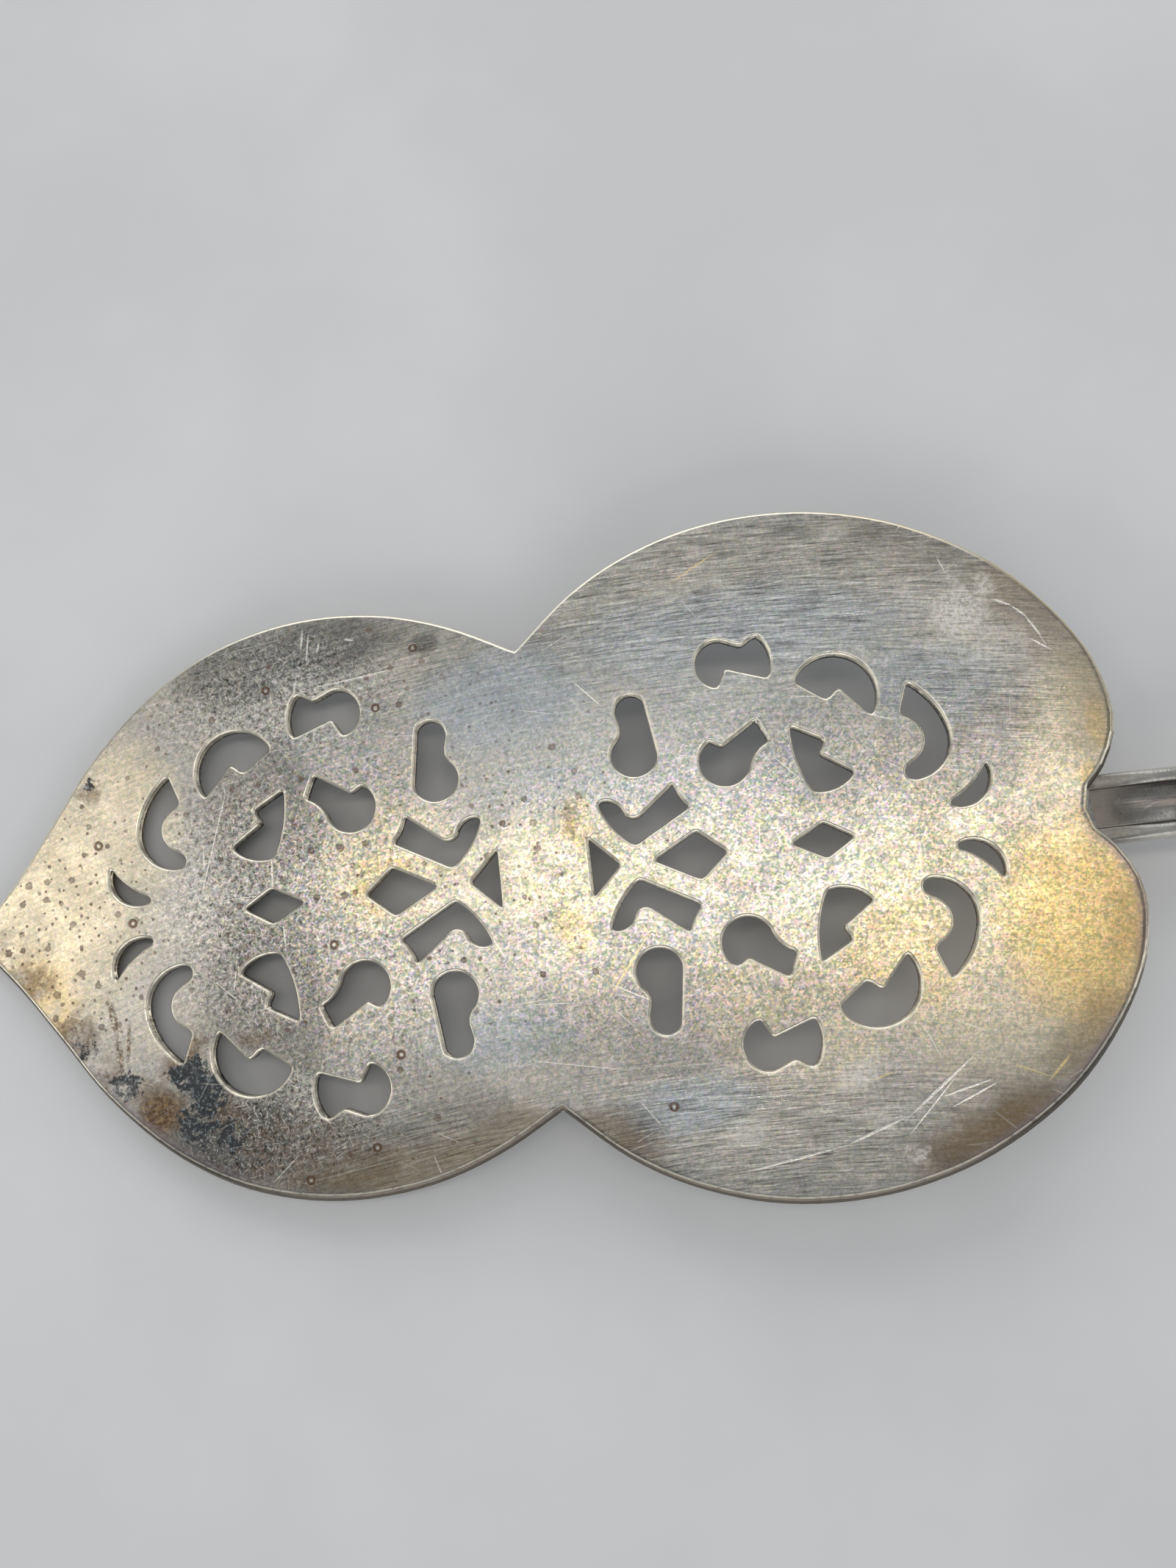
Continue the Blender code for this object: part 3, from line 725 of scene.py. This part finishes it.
    def turned(self, degrees, along, across, place=None):
        """Places turned about the blade's normal, then stretched."""
        place = self.here if place is None else place
        turn = self.add("ShaderNodeVectorRotate", {"Vector": place, "Angle": math.radians(-degrees)},
                        rotation_type='Z_AXIS').outputs[0]
        return self.vector('MULTIPLY', turn, (1.0 / along, 1.0 / across, 1.0 / across))

    def around(self, x, y):
        """Distance from a place on the blade."""
        return self.vector('LENGTH', self.vector('SUBTRACT', self.flat, (x, y, 0.0)))

    def attribute(self, name):
        return self.add("ShaderNodeAttribute", attribute_name=name).outputs["Fac"]

    def region(self, name, ragged, grain=0.6):
        """A patch attribute with ragged borders."""
        strength = self.attribute(name)
        kept = self.step(self.scaled(self.cloud(grain, 4.0, 0.65), 2.0 * ragged, strength), 0.08, 0.5)
        return self.times(strength, kept)

    def cells(self, place, *shift):
        """Scattered cells: each place seen from its cell's middle, and a random colour for the cell."""
        place = self.vector('ADD', place, (*shift, 0.0))
        node = self.add("ShaderNodeTexVoronoi", {"Vector": place, "Scale": 1.0}, voronoi_dimensions='2D')
        return self.vector('SUBTRACT', place, node.outputs["Position"]), node.outputs["Color"]

    def cuts(self, lines):
        """A mask of tapering scratches, each from (x, y) to (x, y) with its widest half width."""
        distances = []
        for ax, ay, bx, by, width in lines:
            inputs = {"Vector": self.flat, "Location": ((ax + bx) / 2.0, (ay + by) / 2.0, 0.0),
                      "Rotation": (0.0, 0.0, math.atan2(by - ay, bx - ax)),
                      "Scale": (math.hypot(bx - ax, by - ay) / 2.0, width, 1.0)}
            local = self.add("ShaderNodeMapping", inputs, vector_type='TEXTURE').outputs[0]
            distances.append(self.vector('LENGTH', local))
        return self.step(self.least(*distances), 1.0, 0.35)

    def scratches(self, degrees, spread, length, width, density, seed):
        """Fine straight lines, one at most in each cell of a turned and stretched pattern."""
        cell = (2.4 * length, 1.4 * length)
        local, colour = self.cells(self.turned(degrees, *cell), seed, seed * 1.7)
        local, random = self.vector('MULTIPLY', local, (*cell, 0.0)), self.parts(colour)
        angle = self.times(self.math('SUBTRACT', random[0], 0.5), math.radians(spread))
        local = self.add("ShaderNodeVectorRotate", {"Vector": local, "Angle": angle},
                         rotation_type='Z_AXIS').outputs[0]
        along, across = [self.math('ABSOLUTE', part) for part in self.parts(local)[:2]]
        chosen = self.math('GREATER_THAN', random[1], 1.0 - density)
        return self.times(self.step(across, width, width * 0.3), self.step(along, length, length * 0.35),
                          chosen, self.scaled(random[2], 0.75, 0.25))

    def specks(self, cell, smallest, largest, chance, seed):
        """Ragged round spots: a mask of the spots and one of their rims."""
        local, colour = self.cells(self.vector('SCALE', self.here, scale=1.0 / cell), seed, seed)
        random = self.parts(colour)
        radius = self.scaled(random[0], largest - smallest, smallest)
        distance = self.vector('LENGTH', self.vector('MULTIPLY', local, (cell, cell, 0.0)))
        distance = self.scaled(self.cloud(5.0, 2.0), 1.1, self.math('DIVIDE', distance, radius))
        chosen = self.times(self.math('GREATER_THAN', chance, random[1]), self.scaled(random[2], 0.55, 0.45))
        return (self.times(chosen, self.step(distance, 1.15, 0.75)),
                self.times(chosen, self.band(distance, 0.85, 0.4, 0.1)))


SILVER_COOL = (0.47, 0.50, 0.52)
SILVER_NEUTRAL = (0.50, 0.485, 0.45)
SILVER_SOFT = (0.58, 0.545, 0.48)
SILVER_WARM = (0.74, 0.65, 0.49)
SILVER_BRIGHT = (0.80, 0.76, 0.68)
SILVER_DARK = (0.135, 0.133, 0.126)
GOLD = (0.82, 0.60, 0.27)
BROWN = (0.15, 0.085, 0.045)
BURNT = (0.25, 0.165, 0.085)
OLIVE = (0.31, 0.245, 0.15)
PURPLE = (0.33, 0.27, 0.28)
ORANGE = (0.35, 0.235, 0.125)
TEAL = (0.014, 0.021, 0.026)
CRUST_PALE = (0.25, 0.30, 0.32)
PALE = (0.98, 0.95, 0.88)
# Gilt is both the colour of gold scratches and a tint of the painted highlight on the rim.
GILT = (1.0, 0.80, 0.40)
SCUFFED = (0.90, 0.86, 0.80)
SPECK = (0.15, 0.08, 0.048)
# The next two are painted light: cream for painted highlights on the edges, and painted shade for the rim.
PAINTED_HIGHLIGHT_CREAM = (0.98, 0.91, 0.74)
RIM_PAINTED_SHADE = (0.08, 0.065, 0.055)
NECK_DULL = (0.24, 0.215, 0.18)
CHANNEL_STAIN = (0.25, 0.22, 0.19)
# Painted shade in the handle's channel and grooves, and a painted highlight line along the channel:
CHANNEL_PAINTED_SHADE = (0.055, 0.048, 0.042)
GROOVE_PAINTED_SHADE = (0.07, 0.055, 0.06)
CHANNEL_PAINTED_HIGHLIGHT = (0.95, 0.78, 0.66)
SOLDER_DARK = (0.36, 0.36, 0.35)
SOLDER_PALE = (0.55, 0.53, 0.48)
FLOOR_DARK = (0.76, 0.76, 0.76)
FLOOR_PALE = (0.82, 0.82, 0.82)


def silver_paint(name):
    """Worn plate, before its marks."""
    paint = Paint(name, SILVER_NEUTRAL)
    paint.coat(SILVER_SOFT, paint.step(paint.noise(0.11, 4.0, 0.55, shift=7.0), 0.32, 0.68))
    return paint


def fine_cloud(paint):
    """The cloud that breaks up streaks, scratches and the rims of pits."""
    return paint.noise(4.0, 3.0, 0.7)


def crumbs(paint):
    """The cloud that the crust and the scuffs crumble with."""
    return paint.noise(2.4, 5.0, 0.75, shift=11.0)


def brush_plate(paint):
    """Lines of brushing in wide arcs. Gives the brushing and its finer part."""
    bowed = paint.bowed(15.0, 170.0)
    long_brush = paint.noise(1.0, 4.0, 0.7, paint.turned(-3, 6.0, 0.24, bowed))
    fine_brush = paint.noise(1.0, 3.0, 0.7, paint.turned(2, 3.0, 0.12, bowed))
    brush = paint.math('SUBTRACT', paint.math('ADD', long_brush, fine_brush), 1.0)
    brush = paint.times(brush, paint.scaled(paint.attribute("brushed"), 0.75, 0.25))
    paint.vary(brush, 2.1)
    return brush, fine_brush


def mottle_plate(paint):
    """Mottle with pale flecks and nicks."""
    mottled = paint.scaled(paint.attribute("mottled"), 0.8, 0.2)
    mottle = paint.times(paint.cloud(2.2, 5.0, 0.8, shift=2.0), mottled)
    paint.vary(mottle, 5.0)
    flecks = paint.step(paint.noise(4.2, 3.0, 0.8, shift=9.0), 0.58, 0.64)
    flecks = paint.most(paint.times(flecks, 0.75), paint.scratches(20, 360, 0.32, 0.06, 0.8, 21.0),
                        paint.scratches(60, 360, 0.75, 0.055, 0.5, 33.0))
    paint.coat(PALE, flecks, mottled, 0.8)
    return mottle


def grain_plate(paint):
    """Sparkling grains, each a little lighter or darker and tinted, and arcs left by turned tools."""
    sparkling = paint.scaled(paint.attribute("sparkling"), 0.7, 0.3)
    for size, light, tint, seed in GRAINS:
        _, grains = paint.cells(paint.vector('SCALE', paint.here, scale=1.0 / size), seed, seed)
        grains = paint.vector('SUBTRACT', grains, (0.5, 0.5, 0.5))
        paint.vary(paint.times(paint.parts(grains)[0], light), sparkling)
        tints = paint.vector('SCALE', paint.vector('MULTIPLY', grains, tint), scale=sparkling)
        tints = paint.vector('ADD', tints, (1.0, 1.0, 1.0))
        paint.colour = paint.shade(paint.colour, tints)
    for x, y, inner, outer in ARC_MARKS:
        away = paint.around(x, y)
        ripple = paint.add("ShaderNodeTexNoise", {"W": away, "Scale": 1.3, "Detail": 3.0, "Roughness": 0.7},
                           noise_dimensions='1D').outputs["Fac"]
        ripple = paint.times(paint.math('SUBTRACT', ripple, 0.5), paint.step(away, inner - 1.0, inner + 1.0),
                             paint.step(away, outer, outer - 3.0),
                             paint.step(paint.noise(0.2, 4.0, 0.65), 0.42, 0.62))
        paint.vary(ripple, 0.6)


def tarnish_plate(paint, fine_brush):
    """Olive, burnt, brown and purple tarnish and the blue-black crust. Gives the brown and the crust."""
    rim = paint.attribute("rim")
    streaky = paint.math('ADD', fine_brush, fine_cloud(paint))
    drift = paint.scaled(paint.noise(0.6, 4.0, 0.65), 3.0, rim)
    olive = paint.shade(OLIVE, paint.scaled(fine_brush, 1.2, 0.4))
    paint.coat(olive, paint.region("olive", 0.4), paint.step(drift, 7.5, 2.5), 0.85)
    paint.coat(BURNT, paint.step(drift, 6.4, 3.4), paint.region("burnt", 0.35),
               paint.step(streaky, 0.6, 1.2, 0.55, 1.0))
    rust = paint.mix(paint.step(paint.noise(1.9, 4.0, 0.75, shift=15.0), 0.45, 0.63), BROWN, ORANGE)
    streaks = paint.times(paint.cuts(STREAKS), paint.step(fine_cloud(paint), 0.35, 0.6), 0.8)
    brown = paint.times(paint.region("brown", 1.1, 0.9), paint.step(streaky, 0.65, 1.15, 0.45, 1.0))
    brown = paint.most(brown, streaks)
    paint.coat(rust, brown)
    paint.coat(PURPLE, paint.step(paint.math('ADD', rim, fine_cloud(paint)), 1.9, 0.9),
               paint.attribute("purple"))
    crusted = paint.attribute("crust")
    crust = paint.times(paint.step(paint.scaled(paint.cloud(0.9, 5.0, 0.7), 3.0, crusted), 0.40, 0.56),
                        paint.step(crusted, 0.02, 0.2))
    paint.coat(paint.mix(paint.step(crumbs(paint), 0.53, 0.64), TEAL, CRUST_PALE), crust, 0.92)
    return brown, crust


def pit_plate(paint):
    """Specks and ring-shaped pits. Gives a mask of each."""
    pitted = paint.attribute("pitted")
    small, _ = paint.specks(0.9, 0.08, 0.15, paint.times(pitted, 0.7), 3.3)
    large, large_edge = paint.specks(2.1, 0.14, 0.29, paint.times(pitted, 0.75), 8.1)
    speck = paint.most(paint.times(small, 0.8), paint.times(large, 0.75), paint.times(large_edge, 0.85))
    paint.coat(SPECK, speck, 0.85)
    away = paint.least(*[paint.around(x, y) for x, y in RING_PITS])
    away = paint.scaled(fine_cloud(paint), 0.14, away)
    ring = paint.band(away, 0.36, 0.16, 0.05)
    paint.coat(SPECK, ring, 0.85)
    paint.coat(PALE, paint.step(away, 0.22, 0.12), 0.5)
    return speck, ring


def scratch_plate(paint):
    """Scratches and scuffs. Gives masks of the placed scratches and the scuffs."""
    broken = paint.step(fine_cloud(paint), 0.35, 0.6, 0.45, 1.0)
    marks = paint.most(paint.scratches(8, 160, 1.9, 0.06, 0.28, 5.1),
                       paint.scratches(-8, 40, 5.0, 0.05, 0.30, 1.3),
                       paint.times(paint.scratches(-4, 60, 1.3, 0.055, 0.42, 9.7), 0.6))
    placed = paint.times(paint.cuts(PALE_CUTS), broken)
    paint.coat(PALE, paint.most(paint.times(marks, broken), placed))
    paint.coat(GILT, paint.cuts(GOLD_CUTS), broken)
    scuff = paint.times(paint.region("scuff", 0.8, 0.9), paint.step(crumbs(paint), 0.44, 0.58, 0.15, 0.9))
    paint.coat(SCUFFED, scuff)
    return placed, scuff


def paint_edge_highlights_and_shade(paint):
    """Painted highlights on the rolled edges and on the walls of the piercings, and painted shade on the side
    of the rim that faces away from the light. Gives a mask of the painted highlight on the piercings' walls.
    """
    edge, rim = paint.attribute("edge"), paint.attribute("rim")
    _, far, up = paint.parts(paint.add("ShaderNodeNewGeometry").outputs["Normal"])
    # Painted highlight on the rolled edges of the piercings where they face up, broken by a cloud.
    paint.coat(PAINTED_HIGHLIGHT_CREAM, paint.step(edge, 0.34, 0.10), paint.step(up, 0.2, 0.6),
               paint.step(paint.noise(1.4, 3.0, 0.6), 0.35, 0.6, 0.5, 0.95))
    # Painted highlight, cream or gilt, on the rim where it faces +Y, towards the light.
    paint.coat(paint.mix(paint.region("olive", 0.2), PAINTED_HIGHLIGHT_CREAM, GILT),
               paint.step(rim, 0.8, 0.45), paint.step(far, 0.08, 0.3), 0.75)
    # Painted highlight: a thin broken light line where the face turns into the rim on the side facing -Y.
    paint.coat(PAINTED_HIGHLIGHT_CREAM, paint.step(rim, 1.1, 0.85), paint.step(far, -0.10, -0.16),
               paint.step(paint.noise(1.1, 4.0, 0.7, shift=6.0), 0.30, 0.50, 0.3, 0.9))
    # Painted shade on the rim's side that faces -Y, away from the light.
    paint.coat(RIM_PAINTED_SHADE, paint.step(rim, 0.9, 0.7), paint.step(far, -0.22, -0.36), 0.9)
    # Painted highlight on the walls of the piercings that face -Y.
    painted_wall_highlight = paint.times(paint.step(edge, 0.2, 0.08), paint.step(up, 0.6, 0.3),
                           paint.step(rim, 1.0, 1.5), paint.step(far, 0.0, -0.45))
    paint.coat(PAINTED_HIGHLIGHT_CREAM, painted_wall_highlight)
    return painted_wall_highlight


def blade_material():
    """Worn silver plate: brushed, grained and mottled, with tarnish, pits and scratches in their places, and
    painted highlights and painted shade on its edges.
    """
    paint = silver_paint("blade_silver")
    for name, ragged, share, tint in (("cool", 0.3, 1.0, SILVER_COOL), ("warm", 0.3, 1.0, SILVER_WARM),
                                      ("gold", 0.4, 1.0, GOLD), ("dark", 0.35, 0.9, SILVER_DARK)):
        paint.coat(tint, paint.region(name, ragged), share)
    brush, fine_brush = brush_plate(paint)
    mottle = mottle_plate(paint)
    grain_plate(paint)
    brown, crust = tarnish_plate(paint, fine_brush)
    speck, ring = pit_plate(paint)
    placed, scuff = scratch_plate(paint)
    # Crust, scuffs and the painted highlight on the piercings' walls, which are made less metallic and
    # rougher.
    crust_scuff_and_painted_highlight = paint.most(crust, scuff, paint_edge_highlights_and_shade(paint))
    rough = paint.step(paint.noise(0.3, 4.0, 0.6, shift=3.0), 0.3, 0.7, 0.27, 0.34)
    rough = paint.scaled(paint.most(brown, crust_scuff_and_painted_highlight, speck), 0.18, rough)
    return paint.finish(paint.scaled(crust_scuff_and_painted_highlight, -0.7, 1.0), rough, (brush, 0.006), (mottle, 0.008),
                        (placed, -0.008), (paint.most(speck, ring), -0.02),
                        (crust, paint.times(crumbs(paint), 0.10)))


# Places on the handle, in millimetres: along it, and inwards from its side.
DULL_NECK = (51.5, 46.5)
# Along the handle, where the painted shade and the painted highlight in the channel fade out.
SHADED_CHANNEL = (84.0, 54.0)
CHANNEL_BORDER = (1.05, 1.35)
GROOVE = (1.24, 0.16, 0.04)


def handle_material():
    """The handle's plate: polished on the crests of its threads and stained in the channel between them, with
    painted shade in the grooves and on one half of the channel, and a painted highlight line along the
    channel.
    """
    paint = silver_paint("handle_silver")
    along, across, _ = paint.parts(paint.here)
    edge = paint.attribute("edge")
    brush = paint.cloud(1.0, 4.0, 0.65, paint.turned(0, 5.0, 0.12))
    mottle = paint.cloud(1.8, 5.0, 0.7)
    paint.vary(paint.scaled(brush, 0.6, paint.times(mottle, 0.7)), 1.0)

    near_blade = paint.step(along, *DULL_NECK)
    beyond = paint.math('SUBTRACT', 1.0, near_blade)
    channel = paint.step(edge, *CHANNEL_BORDER)
    paint.coat(CHANNEL_STAIN, channel, paint.scaled(near_blade, 0.5, 0.3))
    # Painted shade in the groove where the flange steps down to the channel.
    paint.coat(GROOVE_PAINTED_SHADE, paint.band(edge, *GROOVE), 0.8)
    paint.coat(NECK_DULL, near_blade, paint.step(paint.noise(3.0, 4.0, 0.7), 0.3, 0.65, 0.45, 0.8))
    inner = paint.times(channel, beyond, paint.step(along, *SHADED_CHANNEL))
    # Painted shade on the channel's half towards +Y, whose wall faces away from the light.
    paint.coat(CHANNEL_PAINTED_SHADE, inner, paint.step(across, 0.4, 1.4), 0.75)
    # Painted highlight: a broken bright line along the middle of the channel.
    paint.coat(CHANNEL_PAINTED_HIGHLIGHT, inner, paint.band(across, 0.1, 0.6, 0.15), paint.step(brush, -0.12, 0.1), 0.9)

    spot, spot_edge = paint.specks(1.3, 0.06, 0.16, 0.25, 5.7)
    speck = paint.most(paint.times(spot, 0.6), spot_edge)
    paint.coat(SPECK, speck, 0.7)
    paint.coat(SILVER_BRIGHT, paint.step(edge, 1.2, 0.9), beyond, 0.6)
    scratch = paint.most(paint.scratches(4, 50, 3.0, 0.04, 0.5, 5.1),
                         paint.scratches(-8, 120, 1.1, 0.04, 0.6, 1.3))
    worn = paint.step(paint.noise(0.25, 3.0, 0.6, shift=5.0), 0.42, 0.6, 0.1, 1.0)
    scratch = paint.times(scratch, worn)
    paint.coat(PALE, scratch, 0.6)

    rough = paint.step(paint.noise(0.4, 4.0, 0.6, shift=3.0), 0.3, 0.7, 0.20, 0.30)
    rough = paint.scaled(paint.most(near_blade, speck), 0.14, rough)
    return paint.finish(1.0, rough, (brush, 0.010), (mottle, 0.02), (scratch, -0.012), (speck, -0.025))


def solder_material():
    """Dull, slightly lumpy solder."""
    paint = Paint("solder_dull", SOLDER_DARK)
    broad = paint.noise(0.8, 4.0, 0.6)
    paint.coat(SOLDER_PALE, paint.step(broad, 0.35, 0.7))
    return paint.finish(1.0, paint.step(broad, 0.3, 0.7, 0.38, 0.55), (paint.noise(4.0, 3.0), 0.04))


def floor_material():
    """A pale, matt table top with a faint mottle."""
    paint = Paint("pale_floor", FLOOR_DARK)
    paint.coat(FLOOR_PALE, paint.step(paint.noise(0.02, 4.0, 0.6), 0.3, 0.7))
    paint.shader.inputs["Specular IOR Level"].default_value = 0.2
    return paint.finish(0.0, 0.8)


# -------------------------------- pieces

def finish_piece(thing, material, node):
    thing.data.materials.append(material)
    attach(thing, "root")
    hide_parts(node)


finish_piece(build_blade(), blade_material(), "blade")
finish_piece(build_handle(), handle_material(), "handle")
finish_piece(build_solder(), solder_material(), "solder_bead")


# -------------------------------- floor, light and camera

FLOOR_HALF = 2.0


def build_floor():
    mesh = bpy.data.meshes.new("floor")
    corners = [(x * FLOOR_HALF, y * FLOOR_HALF, 0.0) for x, y in ((-1, -1), (1, -1), (1, 1), (-1, 1))]
    mesh.from_pydata(corners, [], [(0, 1, 2, 3)])
    floor = bpy.data.objects.new("floor", mesh)
    bpy.context.scene.collection.objects.link(floor)
    mesh.materials.append(floor_material())


def place_facing(data, place, back, up):
    """Put a lamp or camera at a place in the blade's frame, in millimetres, with its back that way."""
    thing = bpy.data.objects.new(data.name, data)
    bpy.context.scene.collection.objects.link(thing)
    right = up.cross(back).normalized()
    turn = Matrix((right, back.cross(right), back)).transposed().to_4x4()
    thing.matrix_world = BLADE @ Matrix.Translation(Vector(place) * MM) @ turn
    return thing


def softbox(name, centre, size, radiance, colour=(1.0, 1.0, 1.0)):
    """A soft panel facing the blade. Places and sizes are millimetres in the blade's frame."""
    data = bpy.data.lights.new(name, 'AREA')
    data.shape = 'RECTANGLE'
    data.size, data.size_y = size[0] * MM, size[1] * MM
    data.energy = radiance * math.pi * data.size * data.size_y
    data.color = colour
    back = Vector(centre).normalized()
    place_facing(data, centre, back, back.cross(Vector((1.0, 0.0, 0.0))))


WARM_LIGHT = (1.0, 0.95, 0.86)
COOL_LIGHT = (0.95, 0.97, 1.0)
SKY = (0.86, 0.92, 1.0, 1.0)
SKY_STRENGTH = 0.28

softbox("key_band", (25, 35, 400), (300, 44), 4.4, WARM_LIGHT)
softbox("tip_panel", (-235, 55, 380), (70, 130), 2.7, WARM_LIGHT)
softbox("far_sheet", (40, 330, 380), (500, 150), 0.7)
softbox("far_panel", (0, 650, 330), (900, 480), 1.2, COOL_LIGHT)
softbox("near_panel", (0, -650, 330), (900, 480), 1.25)
softbox("left_panel", (-750, 0, 260), (260, 700), 1.5)
softbox("right_panel", (750, 0, 260), (260, 700), 1.0)

world = bpy.data.worlds.new("studio")
world.use_nodes = True
world.node_tree.nodes["Background"].inputs["Color"].default_value = SKY
world.node_tree.nodes["Background"].inputs["Strength"].default_value = SKY_STRENGTH
bpy.context.scene.world = world

# The camera that makes the blade's outline fall as in the photo.
CAMERA_PLACE = (11.66, -12.17, 109.39)
CAMERA_WAY = Vector((-0.0652, 0.1725, -0.9828))
CAMERA_UP = Vector((0.1230, 0.9788, 0.1637))
SENSOR = 36.0
FOCAL_LENGTH = 30.4
NEAREST = 0.005


def build_camera():
    data = bpy.data.cameras.new("camera")
    data.sensor_width = SENSOR
    data.lens = FOCAL_LENGTH
    data.clip_start = NEAREST
    bpy.context.scene.camera = place_facing(data, CAMERA_PLACE, -CAMERA_WAY.normalized(), CAMERA_UP)


build_floor()
build_camera()
bpy.context.scene.view_settings.view_transform = 'Standard'
